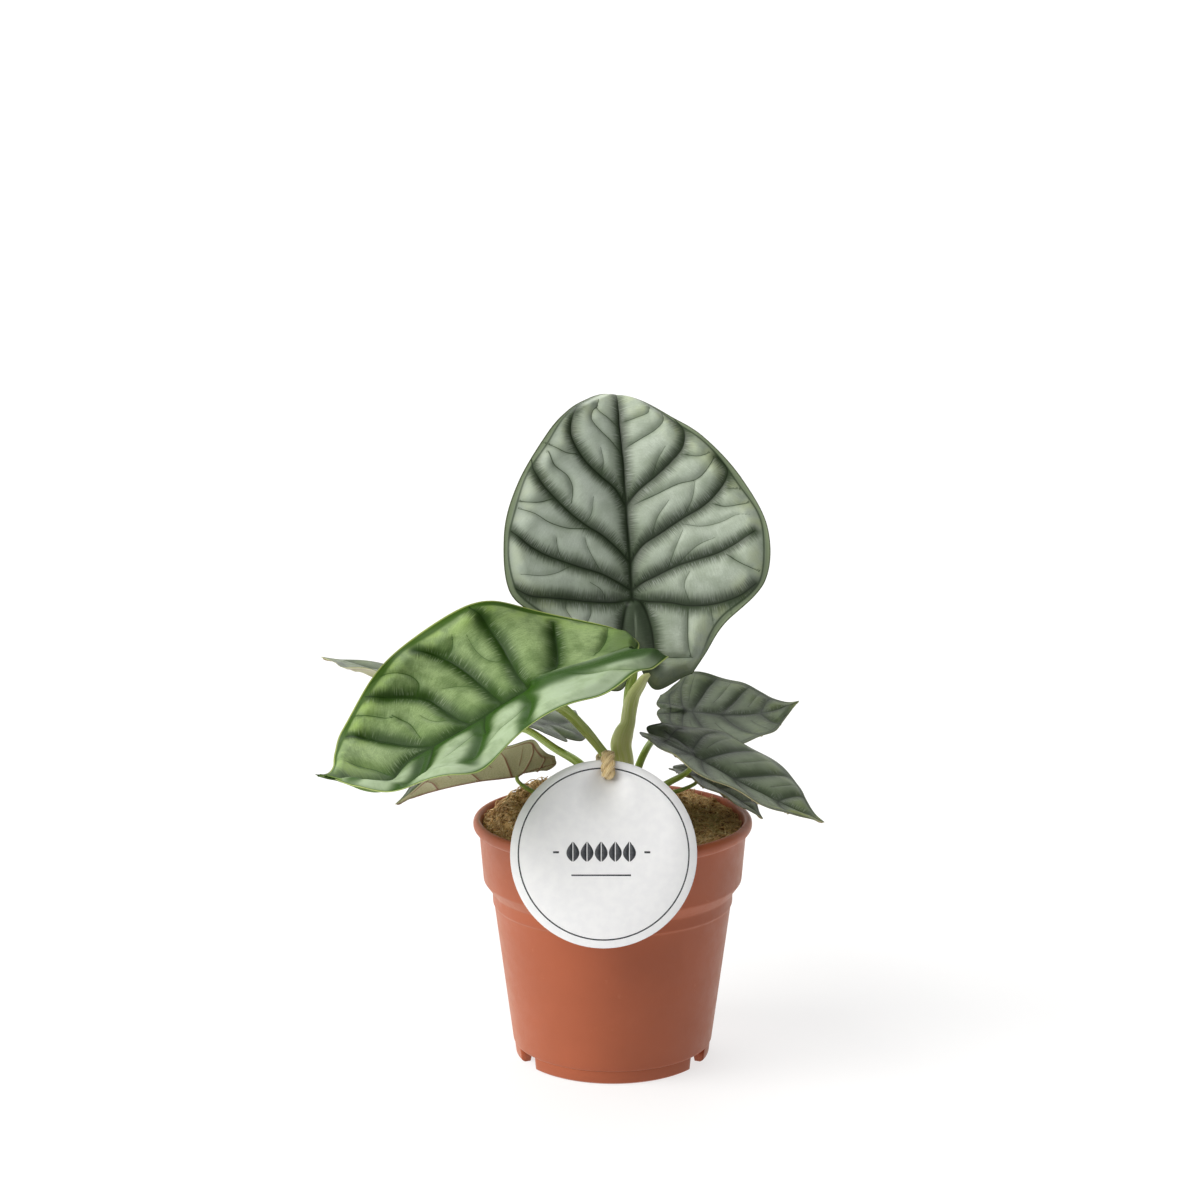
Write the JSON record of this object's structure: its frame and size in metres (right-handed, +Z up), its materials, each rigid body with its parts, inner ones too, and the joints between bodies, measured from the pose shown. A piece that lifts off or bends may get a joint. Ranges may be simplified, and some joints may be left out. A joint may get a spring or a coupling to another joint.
{
  "type": "potted silver dragon alocasia",
  "caption": "Potted alocasia with broad silvery quilted leaves on fleshy stems, in a small terracotta plastic nursery pot of coir, with a round card tag hung on twine.",
  "frame": {"origin": "middle of the whole part's footprint, at the height that the pot's feet stand on", "axes": "+Z up along the pot's axis, -Y towards the viewer and the tag, +X to the viewer's right; the pot's axis stands at x 0.0231, y -0.0127"},
  "size_m": [0.2194, 0.2006, 0.2817],
  "materials": {
    "pot_plastic": "thin moulded terracotta-coloured plastic, satin",
    "coir_soil": null,
    "leaf_silver": null,
    "leaf_green": null,
    "leaf_dark": null,
    "stem": null,
    "tag_card": "white printed card, satin",
    "jute_twine": "twisted jute, fuzzy and matt"
  },
  "bodies": {
    "root": {"pot": "pot_plastic", "soil": "coir_soil", "main_shoot": "stem", "leaf_upright": "leaf_silver", "leaf_front_left": "leaf_green", "leaf_right_upper": "leaf_dark", "leaf_right_lower": "leaf_dark", "leaf_right_small": "leaf_dark", "leaf_back_left": "leaf_dark", "leaf_low_left": "leaf_dark", "petiole_right_upper": "stem", "petiole_right_lower": "stem", "petiole_right_small": "stem", "petiole_back_left": "stem", "petiole_low_left": "stem", "tag_card": "tag_card", "tag_twine": "jute_twine"}
  },
  "joints": []
}
